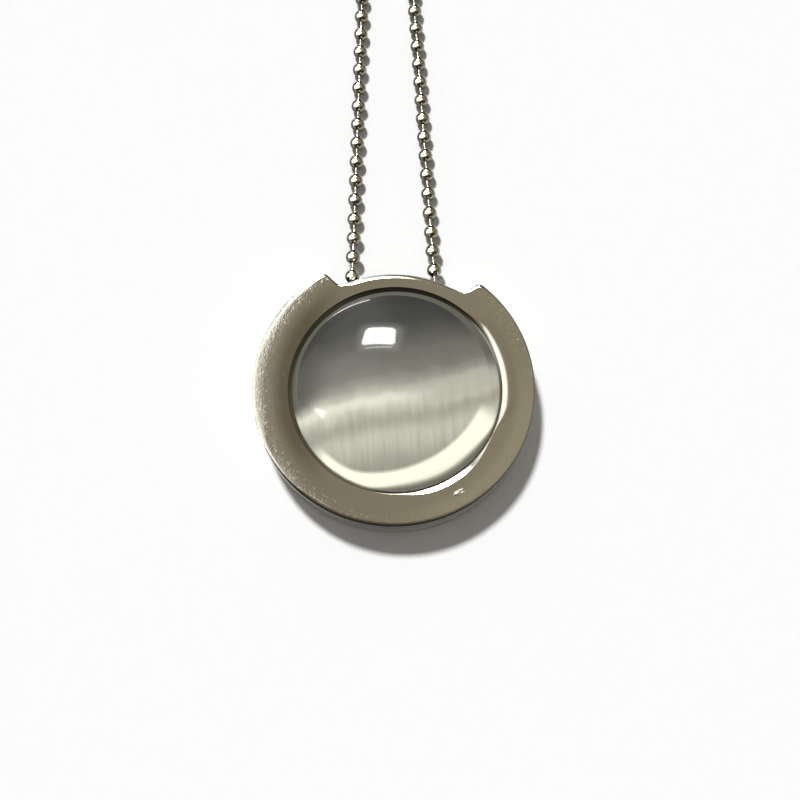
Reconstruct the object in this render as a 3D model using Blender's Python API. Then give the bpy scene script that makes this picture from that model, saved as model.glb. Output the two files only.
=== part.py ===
"""Round steel pendant with a domed cat's-eye stone, lying face up on its ball chain.

Metres, +Z up. The origin is the middle of the frame's back face, and +Y runs to the notch.
"""

import math

import bmesh
import bpy
from mathutils import Matrix, Vector
from mathutils.geometry import interpolate_bezier

MM = 0.001

# Frame
FRAME_RADIUS = 11.0 * MM
FRAME_THICKNESS = 3.0 * MM
NOTCH_RADIUS = 9.4 * MM
NOTCH_FLOOR_ANGLE = math.radians(31.8)
NOTCH_TIP_ANGLE = math.radians(34.2)
NOTCH_CORNER_ROUND = 0.55 * MM
NOTCH_TIP_ROUND = 0.5 * MM
ARC_STEP = math.radians(3.75)

# Seat of the stone, and the soft roll of its lip
SEAT_RADIUS = 8.1 * MM
SEAT_FLOOR = 2.2 * MM
LIP_RADIUS = 8.8 * MM
TURNED_SIDES = 72

# Slot behind the rim, where the chain goes round its pin
SLOT_HALF_WIDTH = 4.85 * MM
SLOT_END = 2.4 * MM
SLOT_FLOOR = 0.3 * MM
SLOT_ROOF = 1.75 * MM
SLOT_CORNER_SIDES = 6

# Pin in the slot
PIN_RADIUS = 0.8 * MM
PIN_Y = 5.25 * MM
PIN_END_GAP = 0.1 * MM
PIN_SIDES = 24

# Stone
STONE_RADIUS = 7.95 * MM
STONE_SEAT_GAP = 0.06 * MM
STONE_GIRDLE_BOTTOM = 2.5 * MM
STONE_GIRDLE_TOP = 2.75 * MM
STONE_TOP = 5.5 * MM
STONE_BASE_CHAMFER = 0.25 * MM
DOME_RINGS = 7

# Ball chain
BEAD_RADIUS = 0.6 * MM
BEAD_PITCH = 1.75 * MM
BEAD_COUNT = 256
BEAD_PHASE = 0.66 * BEAD_PITCH
BEAD_SIDES_RESOLUTION = 3
FRONT_BEADS_LEFT = 30
FRONT_BEADS_RIGHT = 30
CHAIN_JOIN_GAP = 0.3 * MM
TUBE_POINTS = 80
TUBE_SIDES_RESOLUTION = 2

# Height of the chain's centre line: on the table, in the slot and in the clasp
CHAIN_SLOT_RISE = 0.5 * (SLOT_FLOOR + SLOT_ROOF) - BEAD_RADIUS
SLOT_RISE_FROM = 8.4 * MM
SLOT_RISE_TO = 13.5 * MM
CLASP_RISE_FROM = 3.0 * MM
CLASP_RISE_TO = 10.0 * MM

# Clasp, a sleeve round the chain at the far end of the loop
CLASP_BORE_RADIUS = 0.76 * MM
CLASP_OUTER_RADIUS = 1.04 * MM
CLASP_LENGTH = 5.2 * MM
CLASP_EDGE = 0.08 * MM
CLASP_SIDES = 24

# The loop that lies on the table. Strands leave the slot, lean to one side and open into a drop.
STRAND_LEFT_X, STRAND_RIGHT_X = -3.95 * MM, 3.03 * MM
STRAND_START_Y = 6.89 * MM
STRAND_LEFT_LEAN = math.radians(2.9)
STRAND_RIGHT_LEAN = math.radians(7.6)
STRAND_LENGTH = 34.0 * MM
DROP_LEAN = math.radians(6.0)
DROP_HALF_WIDTH = 50.0 * MM
DROP_SIDE_Y = 118.0 * MM
DROP_TOP_Y = 166.0 * MM


def clear_scene():
    for obj in list(bpy.data.objects):
        bpy.data.objects.remove(obj, do_unlink=True)


def material(name, colour, roughness, metallic, transmission=0.0):
    made = bpy.data.materials.new(name)
    made.use_nodes = True
    shader = made.node_tree.nodes["Principled BSDF"]
    shader.inputs["Base Color"].default_value = (*colour, 1.0)
    shader.inputs["Roughness"].default_value = roughness
    shader.inputs["Metallic"].default_value = metallic
    shader.inputs["Transmission Weight"].default_value = transmission
    made.diffuse_color = (*colour, 1.0)
    return made


def object_of(name, bm, mat, sharp=40.0):
    mesh = bpy.data.meshes.new(name)
    bmesh.ops.recalc_face_normals(bm, faces=bm.faces)
    bm.to_mesh(mesh)
    bm.free()
    mesh.shade_smooth()
    mesh.set_sharp_from_angle(angle=math.radians(sharp))
    obj = bpy.data.objects.new(name, mesh)
    bpy.context.scene.collection.objects.link(obj)
    if mat:
        mesh.materials.append(mat)
    return obj


def cutter_of(name, bm):
    obj = object_of(name, bm, None)
    obj.hide_render = True
    obj.display_type = "WIRE"
    return obj


def cut(obj, cutter):
    modifier = obj.modifiers.new("cut_" + cutter.name, "BOOLEAN")
    modifier.operation = "DIFFERENCE"
    modifier.solver = "EXACT"
    modifier.object = cutter


def polar(radius, from_notch):
    """Point at this radius, with its angle measured from the notch's axis towards +X."""
    return Vector((radius * math.sin(from_notch), radius * math.cos(from_notch)))


def rounded_corner(before, corner, after, radius, steps):
    """Points of the arc that rounds a corner between two straight sides."""
    to_before = (before - corner).normalized()
    to_after = (after - corner).normalized()
    half = 0.5 * to_before.angle(to_after)
    along = radius / math.tan(half)
    middle = corner + (to_before + to_after).normalized() * (radius / math.sin(half))
    start = (corner + to_before * along - middle).normalized()
    end = (corner + to_after * along - middle).normalized()
    return [middle + start.slerp(end, i / steps) * radius for i in range(steps + 1)]


def arc_points(radius, start, end, step):
    count = max(2, round(abs(end - start) / step))
    return [polar(radius, start + (end - start) * i / count) for i in range(count + 1)]


def frame_outline():
    """Outline of the notched disc, clockwise from the right horn, seen from above."""
    right_tip = polar(FRAME_RADIUS, NOTCH_TIP_ANGLE)
    right_foot = polar(NOTCH_RADIUS, NOTCH_FLOOR_ANGLE)
    beside_tip = polar(FRAME_RADIUS, NOTCH_TIP_ANGLE + ARC_STEP)
    beside_foot = polar(NOTCH_RADIUS, NOTCH_FLOOR_ANGLE - ARC_STEP)
    foot = rounded_corner(beside_foot, right_foot, right_tip, NOTCH_CORNER_ROUND, 4)
    tip = rounded_corner(right_foot, right_tip, beside_tip, NOTCH_TIP_ROUND, 4)
    flank = foot + tip
    mirrored = [Vector((-point.x, point.y)) for point in reversed(flank)]
    outer_start = math.atan2(tip[-1].x, tip[-1].y) + 0.6 * ARC_STEP
    floor_start = math.atan2(foot[0].x, foot[0].y) - 0.6 * ARC_STEP
    outer = arc_points(FRAME_RADIUS, outer_start, 2 * math.pi - outer_start, ARC_STEP)
    floor = arc_points(NOTCH_RADIUS, -floor_start, floor_start, ARC_STEP)
    return flank + outer + mirrored + floor


def inset_outline(outline, inset):
    """The outline moved into the material by a distance, corner by corner."""
    moved = []
    for i, point in enumerate(outline):
        before = (point - outline[i - 1]).normalized()
        after = (outline[(i + 1) % len(outline)] - point).normalized()
        inward = Vector((before.y + after.y, -before.x - after.x)).normalized()
        share = 1.0 / math.sqrt(max(0.5, 0.5 * (1.0 + before.dot(after))))
        moved.append(point + inward * (inset * share))
    return moved


def stacked_outline(outline, section):
    """A closed solid whose wall follows the outline through a section of (inset, height) rows."""
    bm = bmesh.new()
    loops = []
    for inset, height in section:
        loops.append([bm.verts.new((p.x, p.y, height)) for p in inset_outline(outline, inset)])
    for lower, upper in zip(loops, loops[1:]):
        for i in range(len(lower)):
            j = (i + 1) % len(lower)
            bm.faces.new((lower[i], lower[j], upper[j], upper[i]))
    bm.faces.new(loops[0])
    bm.faces.new(loops[-1])
    return bm


def turned(section, sides, centre=(0.0, 0.0)):
    """A closed solid turned about +Z through (radius, height) rows, with flat ends."""
    bm = bmesh.new()
    loops = []
    for radius, height in section:
        loop = []
        if radius == 0.0:
            loop.append(bm.verts.new((centre[0], centre[1], height)))
        else:
            for i in range(sides):
                turn = 2 * math.pi * i / sides
                x = centre[0] + radius * math.cos(turn)
                y = centre[1] + radius * math.sin(turn)
                loop.append(bm.verts.new((x, y, height)))
        loops.append(loop)
    for lower, upper in zip(loops, loops[1:]):
        for i in range(sides):
            j = (i + 1) % sides
            if len(upper) == 1:
                bm.faces.new((lower[i], lower[j], upper[0]))
            else:
                bm.faces.new((lower[i], lower[j], upper[j], upper[i]))
    for loop in (loops[0], loops[-1]):
        if len(loop) > 1:
            bm.faces.new(loop)
    return bm


def make_frame(steel):
    top = FRAME_THICKNESS
    section = (
        # inset, height
        (0.25 * MM, 0.0),
        (0.07 * MM, 0.07 * MM),
        (0.0, 0.25 * MM),
        (0.0, top - 0.42 * MM),
        (0.05 * MM, top - 0.2 * MM),
        (0.2 * MM, top - 0.06 * MM),
        (0.46 * MM, top),
    )
    frame = object_of("frame", stacked_outline(frame_outline(), section), steel)
    seat_section = (
        # radius, height
        (SEAT_RADIUS, SEAT_FLOOR),
        (SEAT_RADIUS, top - 0.28 * MM),
        (SEAT_RADIUS + 0.1 * MM, top - 0.15 * MM),
        (SEAT_RADIUS + 0.3 * MM, top - 0.06 * MM),
        (LIP_RADIUS, top),
        (LIP_RADIUS + 1.0 * MM, top + 0.1 * MM),
    )
    seat = cutter_of("seat_cutter", turned(seat_section, TURNED_SIDES))
    cut(frame, seat)
    cut(frame, cutter_of("slot_cutter", slot_shape()))
    return frame


def slot_shape():
    """The chain's slot: two round inner corners, and open through the notch's wall."""
    corner = SLOT_HALF_WIDTH
    outline = [Vector((corner, FRAME_RADIUS)), Vector((-corner, FRAME_RADIUS))]
    for i in range(2 * SLOT_CORNER_SIDES + 1):
        turn = math.pi + math.pi * i / (2 * SLOT_CORNER_SIDES)
        y = SLOT_END + corner + corner * math.sin(turn)
        outline.append(Vector((corner * math.cos(turn), y)))
    return stacked_outline(outline, ((0.0, SLOT_FLOOR), (0.0, SLOT_ROOF)))


def make_pin(steel):
    section = ((PIN_RADIUS, SLOT_FLOOR + PIN_END_GAP), (PIN_RADIUS, SLOT_ROOF - PIN_END_GAP))
    return object_of("bail_pin", turned(section, PIN_SIDES, (0.0, PIN_Y)), steel)


def make_stone(glass):
    rise = STONE_TOP - STONE_GIRDLE_TOP
    ball = (STONE_RADIUS**2 + rise**2) / (2 * rise)
    widest = math.asin(STONE_RADIUS / ball)
    section = [
        (STONE_RADIUS - STONE_BASE_CHAMFER, SEAT_FLOOR + STONE_SEAT_GAP),
        (STONE_RADIUS, STONE_GIRDLE_BOTTOM),
    ]
    for i in range(DOME_RINGS + 1):
        slope = widest * (1.0 - i / DOME_RINGS)
        radius = ball * math.sin(slope) if i < DOME_RINGS else 0.0
        section.append((radius, STONE_TOP - ball * (1.0 - math.cos(slope))))
    return object_of("stone", turned(section, TURNED_SIDES), glass)


def heading(angle):
    """Unit step on the table, its angle measured from +X."""
    return Vector((math.cos(angle), math.sin(angle), 0.0))


def loop_knots(growth):
    """Knots of the whole loop from the bend in the slot: point, heading, handle back, handle on."""
    up = 0.5 * math.pi
    bend = 0.5 * (STRAND_RIGHT_X - STRAND_LEFT_X)
    bend_handle = 0.5523 * bend
    middle_x = 0.5 * (STRAND_RIGHT_X + STRAND_LEFT_X)
    left_foot = Vector((STRAND_LEFT_X, STRAND_START_Y, 0.0))
    right_foot = Vector((STRAND_RIGHT_X, STRAND_START_Y, 0.0))
    left_up = heading(up + STRAND_LEFT_LEAN)
    right_up = heading(up + STRAND_RIGHT_LEAN)
    left_end = left_foot + left_up * STRAND_LENGTH
    right_end = right_foot + right_up * STRAND_LENGTH
    drop_up = heading(up + DROP_LEAN)
    drop_right = heading(DROP_LEAN)
    strands_middle = 0.5 * (left_end + right_end)
    side_rise = (DROP_SIDE_Y - left_end.y) * growth
    top_rise = (DROP_TOP_Y - left_end.y) * growth
    half_width = DROP_HALF_WIDTH * growth
    side_middle = strands_middle + drop_up * side_rise
    top = strands_middle + drop_up * top_rise
    top_handle = 0.56 * half_width
    side_handle = 0.56 * (top_rise - side_rise)
    long_handle = 0.52 * side_rise
    strand_handle = STRAND_LENGTH / 3
    return (
        (Vector((middle_x, STRAND_START_Y - bend, 0.0)), -heading(0.0), bend_handle, bend_handle),
        (left_foot, left_up, bend_handle, strand_handle),
        (left_end, left_up, strand_handle, long_handle),
        (side_middle - drop_right * half_width, drop_up, long_handle, side_handle),
        (top, drop_right, top_handle, top_handle),
        (side_middle + drop_right * half_width, -drop_up, side_handle, long_handle),
        (right_end, -right_up, long_handle, strand_handle),
        (right_foot, -right_up, strand_handle, bend_handle),
    )


def loop_points(growth):
    """Close-set points along the loop, the distance of each from the bend, and the clasp's distance."""
    knots = loop_knots(growth)
    points = []
    clasp_index = 0
    for i, (start, start_heading, _, handle_on) in enumerate(knots):
        end, end_heading, handle_back, _ = knots[(i + 1) % len(knots)]
        if i == 4:
            clasp_index = len(points)
        first_handle = start + start_heading * handle_on
        second_handle = end - end_heading * handle_back
        points += interpolate_bezier(start, first_handle, second_handle, end, 240)[:-1]
    points.append(points[0].copy())
    distances = [0.0]
    for before, after in zip(points, points[1:]):
        distances.append(distances[-1] + (after - before).length)
    return points, distances, distances[clasp_index]


def measured_loop():
    """The loop grown until its length is the chain's own."""
    wanted = BEAD_COUNT * BEAD_PITCH
    low, high = 0.5, 1.6
    for _ in range(40):
        growth = 0.5 * (low + high)
        if loop_points(growth)[1][-1] < wanted:
            low = growth
        else:
            high = growth
    return loop_points(0.5 * (low + high))


def smooth_step(value):
    value = min(1.0, max(0.0, value))
    return value * value * (3.0 - 2.0 * value)


class ChainPath:
    """Points of the chain's centre line by distance along it from the bend round the pin."""

    def __init__(self):
        self.points, self.distances, self.clasp = measured_loop()
        self.length = self.distances[-1]

    def height(self, distance):
        from_bend = min(distance, self.length - distance)
        from_clasp = abs(distance - self.clasp)
        slot = 1.0 - smooth_step((from_bend - SLOT_RISE_FROM) / (SLOT_RISE_TO - SLOT_RISE_FROM))
        clasp = 1.0 - smooth_step((from_clasp - CLASP_RISE_FROM) / (CLASP_RISE_TO - CLASP_RISE_FROM))
        clasp_rise = CLASP_OUTER_RADIUS - BEAD_RADIUS + 0.01 * MM
        return BEAD_RADIUS + slot * CHAIN_SLOT_RISE + clasp * clasp_rise

    def at(self, distance):
        distance %= self.length
        low, high = 0, len(self.distances) - 1
        while high - low > 1:
            middle = (low + high) // 2
            if self.distances[middle] <= distance:
                low = middle
            else:
                high = middle
        span = self.distances[high] - self.distances[low]
        share = (distance - self.distances[low]) / span
        point = self.points[low].lerp(self.points[high], share)
        return Vector((point.x, point.y, self.height(distance)))


def swept(name, rows, resolution, mat):
    """A round tube through (point, radius) rows, as a curve with filled ends."""
    curve = bpy.data.curves.new(name, "CURVE")
    curve.dimensions = "3D"
    curve.twist_mode = "Z_UP"
    curve.bevel_depth = BEAD_RADIUS
    curve.bevel_resolution = resolution
    curve.use_fill_caps = True
    spline = curve.splines.new("POLY")
    spline.points.add(len(rows) - 1)
    for place, (point, radius) in zip(spline.points, rows):
        place.co = (*point, 1.0)
        place.radius = radius / BEAD_RADIUS
    spline.use_smooth = True
    curve.materials.append(mat)
    obj = bpy.data.objects.new(name, curve)
    bpy.context.scene.collection.objects.link(obj)
    return obj


def make_front_chain(path, steel):
    """Beads as rings at five latitudes each. The link between two is the waist left between them."""
    latitudes = [math.radians(degrees) for degrees in (-72.0, -36.0, 0.0, 36.0, 72.0)]
    waist = BEAD_RADIUS * math.cos(latitudes[0])
    half_link = 0.5 * (BEAD_PITCH - CHAIN_JOIN_GAP)
    first = BEAD_PHASE - FRONT_BEADS_RIGHT * BEAD_PITCH
    last = BEAD_PHASE + (FRONT_BEADS_LEFT - 1) * BEAD_PITCH
    rows = [(path.at(first - half_link), waist)]
    for i in range(FRONT_BEADS_LEFT + FRONT_BEADS_RIGHT):
        centre = first + i * BEAD_PITCH
        for latitude in latitudes:
            along = centre + BEAD_RADIUS * math.sin(latitude)
            rows.append((path.at(along), BEAD_RADIUS * math.cos(latitude)))
    rows.append((path.at(last + half_link), waist))
    return swept("ball_chain_front", rows, BEAD_SIDES_RESOLUTION, steel)


def make_back_chain(path, steel):
    half_link = 0.5 * (BEAD_PITCH + CHAIN_JOIN_GAP)
    start = BEAD_PHASE + (FRONT_BEADS_LEFT - 1) * BEAD_PITCH + half_link
    end = path.length + BEAD_PHASE - FRONT_BEADS_RIGHT * BEAD_PITCH - half_link
    rows = []
    for i in range(TUBE_POINTS):
        along = start + (end - start) * i / (TUBE_POINTS - 1)
        rows.append((path.at(along), BEAD_RADIUS))
    return swept("ball_chain_back", rows, TUBE_SIDES_RESOLUTION, steel)


def make_clasp(path, steel):
    """A turned sleeve with a through bore, laid along the chain at the far end of the loop."""
    half = 0.5 * CLASP_LENGTH
    section = (
        (CLASP_BORE_RADIUS, -half),
        (CLASP_OUTER_RADIUS - CLASP_EDGE, -half),
        (CLASP_OUTER_RADIUS, -half + CLASP_EDGE),
        (CLASP_OUTER_RADIUS, half - CLASP_EDGE),
        (CLASP_OUTER_RADIUS - CLASP_EDGE, half),
        (CLASP_BORE_RADIUS, half),
    )
    bm = bmesh.new()
    loops = []
    for radius, height in section:
        loop = []
        for i in range(CLASP_SIDES):
            turn = 2 * math.pi * i / CLASP_SIDES
            loop.append(bm.verts.new((radius * math.cos(turn), radius * math.sin(turn), height)))
        loops.append(loop)
    for k, lower in enumerate(loops):
        upper = loops[(k + 1) % len(loops)]
        for i in range(CLASP_SIDES):
            j = (i + 1) % CLASP_SIDES
            bm.faces.new((lower[i], lower[j], upper[j], upper[i]))
    clasp = object_of("clasp", bm, steel)
    before = path.at(path.clasp - half)
    after = path.at(path.clasp + half)
    lie = (after - before).to_track_quat("Z", "Y").to_matrix().to_4x4()
    clasp.matrix_world = Matrix.Translation(0.5 * (before + after)) @ lie
    return clasp


def build():
    clear_scene()
    polished = material("polished_steel", (0.56, 0.54, 0.49), 0.1, 1.0)
    chain_steel = material("chain_steel", (0.6, 0.58, 0.54), 0.15, 1.0)
    cats_eye = material("cats_eye", (0.42, 0.41, 0.37), 0.05, 0.0, 0.4)
    path = ChainPath()
    make_frame(polished)
    make_pin(polished)
    make_stone(cats_eye)
    make_front_chain(path, chain_steel)
    make_back_chain(path, chain_steel)
    make_clasp(path, chain_steel)


build()
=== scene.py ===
"""Looks of the notched steel pendant, its cat's-eye stone and its ball chain, laid on a table.

Metres, +Z up. The origin is the middle of the frame's back face, and +Y runs to the notch.
"""

import math

import bmesh
import bpy
import numpy as np
from mathutils import Matrix, Quaternion, Vector
from mathutils.geometry import interpolate_bezier


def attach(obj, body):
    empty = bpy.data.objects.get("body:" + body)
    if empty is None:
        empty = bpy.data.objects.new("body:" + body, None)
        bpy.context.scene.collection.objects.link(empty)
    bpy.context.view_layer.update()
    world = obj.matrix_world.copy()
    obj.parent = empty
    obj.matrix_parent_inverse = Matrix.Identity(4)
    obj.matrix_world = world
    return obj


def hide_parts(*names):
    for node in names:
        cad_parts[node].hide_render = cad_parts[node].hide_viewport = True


MM = 0.001
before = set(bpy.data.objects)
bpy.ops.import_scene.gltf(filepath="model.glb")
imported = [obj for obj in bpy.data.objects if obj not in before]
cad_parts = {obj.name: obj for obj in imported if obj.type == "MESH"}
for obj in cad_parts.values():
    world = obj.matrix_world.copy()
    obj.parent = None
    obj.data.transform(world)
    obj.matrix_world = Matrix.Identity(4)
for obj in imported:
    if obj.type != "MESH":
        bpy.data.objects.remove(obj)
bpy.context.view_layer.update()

# Frame, as in the part's source
FRAME_RADIUS = 11.0 * MM
FRAME_THICKNESS = 3.0 * MM
NOTCH_RADIUS = 9.4 * MM
NOTCH_FLOOR_ANGLE = math.radians(31.8)
NOTCH_TIP_ANGLE = math.radians(34.2)
NOTCH_CORNER_ROUND = 0.55 * MM
NOTCH_TIP_ROUND = 0.5 * MM
ARC_STEP = math.radians(0.75)
CORNER_STEPS = 10
HORN_BLEND = 2.2 * MM
BACK_PROFILE = ((0.25, 0.0), (0.12, 0.035), (0.035, 0.12), (0.0, 0.25))

# Edge of the face, as inset and drop: along the rim, at the notch and where the rim is worn
EDGE_PROFILE = (
    ((0.0, 0.32), (0.0, 0.36), (0.0, 0.15)),
    ((0.01, 0.22), (0.01, 0.27), (0.02, 0.094)),
    ((0.02, 0.15), (0.03, 0.2), (0.06, 0.054)),
    ((0.06, 0.1), (0.08, 0.155), (0.12, 0.032)),
    ((0.12, 0.071), (0.15, 0.11), (0.2, 0.0235)),
    ((0.2, 0.046), (0.22, 0.07), (0.3, 0.0175)),
    ((0.28, 0.026), (0.3, 0.035), (0.45, 0.0105)),
    ((0.36, 0.011), (0.38, 0.01), (0.65, 0.0045)),
    ((0.44, 0.003), (0.45, 0.0), (0.9, 0.0)),
    ((0.5, 0.0), (0.48, 0.0), (0.95, 0.0)),
)

# Share of the notch's edge that is left at its feet and at the horns' tips
FOOT_EDGE_LEFT, FOOT_EDGE_RIGHT = 0.3, 0.2
TIP_EDGE = 0.75
FOOT_FROM = math.radians(23.5)
FOOT_FADE = math.radians(7.5)

# Where the rim is worn wide and where it stays crisp, as angles from the notch
WORN_MIDDLE = math.radians(-100.0)
WORN_FULL, WORN_FADE = math.radians(17.0), math.radians(30.0)
CRISP_MIDDLE = math.radians(-128.0)
CRISP_FULL, CRISP_FADE = math.radians(8.0), math.radians(16.0)
CRISP_SHARE = 0.35

# Seat of the stone: its radius, and the bevel round it as share of its width and of its drop
SEAT_RADIUS = 8.34 * MM
SEAT_SHIFT = Vector((0.13 * MM, -0.13 * MM))
BEVEL_PROFILE = (
    (1.0, 0.0), (0.93, 0.03), (0.85, 0.1), (0.69, 0.27), (0.54, 0.43),
    (0.39, 0.59), (0.24, 0.74), (0.1, 0.9), (0.0, 1.0),
)
BEVEL_WIDTH, BEVEL_DROP = 0.36 * MM, 0.15 * MM
SIDE_BEVEL_PROFILE = (
    (1.0, 0.0), (0.883, 0.033), (0.75, 0.098), (0.625, 0.166), (0.49, 0.246),
    (0.37, 0.33), (0.28, 0.397), (0.09, 0.741), (0.0, 1.0),
)
SIDE_BEVEL_WIDTH, SIDE_BEVEL_DROP = 1.2 * MM, 0.187 * MM
SIDE_BEVEL_MIDDLE = math.radians(73.0)
SIDE_BEVEL_FULL, SIDE_BEVEL_FADE = math.radians(22.0), math.radians(17.0)
LIP_MIDDLE = math.radians(145.0)
LIP_FULL, LIP_FADE = math.radians(7.0), math.radians(26.0)
PLAIN_LIP = 0.05
SEAT_WALL = (0.04 * MM, 0.12 * MM, 0.3 * MM)
SEAT_FLOOR = 2.2 * MM

# Slot behind the rim
SLOT_HALF_WIDTH = 4.85 * MM
SLOT_END = 2.4 * MM
SLOT_FLOOR = 0.3 * MM
SLOT_ROOF = 1.75 * MM
SLOT_CORNER_SIDES = 24

# Stone
STONE_RADIUS = 8.08 * MM
STONE_BASE = 2.26 * MM
STONE_GIRDLE_TOP = 2.75 * MM
STONE_TOP = 5.5 * MM
STONE_SIDES = 192
STONE_SHIFT = Vector((0.2 * MM, -0.13 * MM))
DOME_RINGS = 40

# Tones of the stone, its smoky colour with painted light and shade: dark above the band, the band a painted sheen
# and the milky half below painted light; millimetres above the middle of its band, and colour
STONE_TONES = (
    (-6.0, (0.4, 0.39, 0.32)),
    (-4.6, (0.43, 0.42, 0.345)),
    (-2.9, (0.6, 0.59, 0.49)),
    (-1.6, (0.43, 0.42, 0.345)),
    (-0.6, (0.64, 0.63, 0.53)),
    (0.0, (0.8, 0.79, 0.665)),
    (0.5, (0.58, 0.57, 0.48)),
    (1.1, (0.38, 0.375, 0.32)),
    (2.0, (0.22, 0.22, 0.19)),
    (4.0, (0.142, 0.14, 0.12)),
    (6.0, (0.072, 0.072, 0.065)),
    (9.0, (0.048, 0.048, 0.046)),
)

# Ball chain
BEAD_RADIUS = 0.6 * MM
BEAD_PITCH = 1.75 * MM
BEAD_COUNT = 256
BEAD_PHASE = 0.66 * BEAD_PITCH
FRONT_BEADS_LEFT = 30
FRONT_BEADS_RIGHT = 30
BEAD_HOLE_RADIUS = 0.17 * MM
LINK_RADIUS = 0.115 * MM
CHAIN_SLOT_RISE = 0.5 * (SLOT_FLOOR + SLOT_ROOF) - BEAD_RADIUS
SLOT_RISE_FROM = 8.4 * MM
SLOT_RISE_TO = 13.5 * MM
CLASP_RISE_FROM = 3.0 * MM
CLASP_RISE_TO = 10.0 * MM

# Clasp
CLASP_BORE_RADIUS = 0.76 * MM
CLASP_OUTER_RADIUS = 1.04 * MM
CLASP_LENGTH = 5.2 * MM
CLASP_SIDES = 64
CLASP_EDGE = 0.16 * MM
CLASP_LIFT = 0.01 * MM

# The loop on the table
STRAND_LEFT_X, STRAND_RIGHT_X = -3.95 * MM, 3.03 * MM
STRAND_START_Y = 6.89 * MM
STRAND_LEFT_LEAN = math.radians(2.9)
STRAND_RIGHT_LEAN = math.radians(7.6)
STRAND_LENGTH = 34.0 * MM
DROP_LEAN = math.radians(6.0)
DROP_HALF_WIDTH = 50.0 * MM
DROP_SIDE_Y = 118.0 * MM
DROP_TOP_Y = 166.0 * MM
QUARTER_HANDLE = 0.5523
CURVE_STEPS = 240
CLASP_KNOT = 4

# Camera
CAMERA_PLACE = (2.23 * MM, -24.16 * MM, 87.7 * MM)
CAMERA_TILT = math.radians(15.286)
CAMERA_TURN = math.radians(4.1)
CAMERA_LENS = 51.1

# Light
KEY_TILT, KEY_AZIMUTH = 35.5, 121.0
KEY_SPREAD = math.radians(8.0)
KEY_STRENGTH = 3.5
FILL = (0.236, 0.226, 0.205)
CHAIN_LAMP_DISTANCE = 0.3
CHAIN_LAMPS = (
    # name, tilt, azimuth, turn, half width, half height, radiance
    ("chain_oval", 37.0, 190.0, -14.0, 30.0, 58.0, 1.9),
    ("chain_dot", 81.0, -78.0, 0.0, 9.0, 9.0, 3.5),
)

# Colours of the metals
# The last of these is painted shade, laid on the face near the seat
STEEL, RUBBED_STEEL, SHADED_STEEL = (0.605, 0.588, 0.55), (0.74, 0.725, 0.66), (0.33, 0.315, 0.28)
# Painted shade for the frame's rounded edge, the notch's left flank and the seat
STEEL_PAINTED_SHADE = (0.06, 0.055, 0.045)
BEAD_STEEL, HAZY_BEAD_STEEL = (0.62, 0.6, 0.55), (0.5, 0.48, 0.42)
# Painted shade on the beads outside their painted highlight oval, on the left and on the right
BEAD_PAINTED_SHADE_LEFT, BEAD_PAINTED_SHADE_RIGHT = (0.07, 0.064, 0.046), (0.5, 0.47, 0.36)
# Painted dark rim and underside shade of the beads
BEAD_PAINTED_RIM = (0.1, 0.09, 0.06)

# Directions and places on the frame's face, in millimetres
IN_PLAN = (1.0, 1.0, 0.0)
UPPER_LEFT, LOWER_RIGHT = (-0.74, 0.67, 0.0), (0.82, -0.57, 0.0)
FLANK_FOOT = (-4.953, 7.989, 0.0)
FLANK_INWARD, FLANK_ALONG = (0.67, 0.742, 0.0), (-0.742, 0.67, 0.0)
SCUFF_SPOTS = ((5.64, -7.96, 0.3), (5.35, -8.12, 0.2))


# ---- shapes shared with the part's source ----


def polar(radius, from_notch):
    """Point at this radius, with its angle measured from the notch's axis towards +X."""
    return Vector((radius * math.sin(from_notch), radius * math.cos(from_notch)))


def rounded_corner(before, corner, after, radius, steps):
    to_before = (before - corner).normalized()
    to_after = (after - corner).normalized()
    half = 0.5 * to_before.angle(to_after)
    along = radius / math.tan(half)
    middle = corner + (to_before + to_after).normalized() * (radius / math.sin(half))
    start = (corner + to_before * along - middle).normalized()
    end = (corner + to_after * along - middle).normalized()
    return [middle + start.slerp(end, i / steps) * radius for i in range(steps + 1)]


def arc_points(radius, start, end, step):
    count = max(2, round(abs(end - start) / step))
    return [polar(radius, start + (end - start) * i / count) for i in range(count + 1)]


def frame_outline():
    """Outline of the notched disc, clockwise from the right horn, seen from above."""
    wide = math.radians(3.75)
    right_tip = polar(FRAME_RADIUS, NOTCH_TIP_ANGLE)
    right_foot = polar(NOTCH_RADIUS, NOTCH_FLOOR_ANGLE)
    beside_tip = polar(FRAME_RADIUS, NOTCH_TIP_ANGLE + wide)
    beside_foot = polar(NOTCH_RADIUS, NOTCH_FLOOR_ANGLE - wide)
    foot = rounded_corner(beside_foot, right_foot, right_tip, NOTCH_CORNER_ROUND, CORNER_STEPS)
    tip = rounded_corner(right_foot, right_tip, beside_tip, NOTCH_TIP_ROUND, CORNER_STEPS)
    flank = foot + tip
    mirrored = [Vector((-point.x, point.y)) for point in reversed(flank)]
    outer_start = math.atan2(tip[-1].x, tip[-1].y) + 0.6 * ARC_STEP
    floor_start = math.atan2(foot[0].x, foot[0].y) - 0.6 * ARC_STEP
    outer = arc_points(FRAME_RADIUS, outer_start, 2 * math.pi - outer_start, ARC_STEP)
    floor = arc_points(NOTCH_RADIUS, -floor_start, floor_start, ARC_STEP)
    return flank + outer + mirrored + floor


def inward_steps(outline):
    """At each corner of the outline, the step that insets it by one unit."""
    steps = []
    for i, point in enumerate(outline):
        before = (point - outline[i - 1]).normalized()
        after = (outline[(i + 1) % len(outline)] - point).normalized()
        inward = Vector((before.y + after.y, -before.x - after.x)).normalized()
        steps.append(inward / math.sqrt(max(0.5, 0.5 * (1.0 + before.dot(after)))))
    return steps


def heading(angle):
    return Vector((math.cos(angle), math.sin(angle), 0.0))


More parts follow.
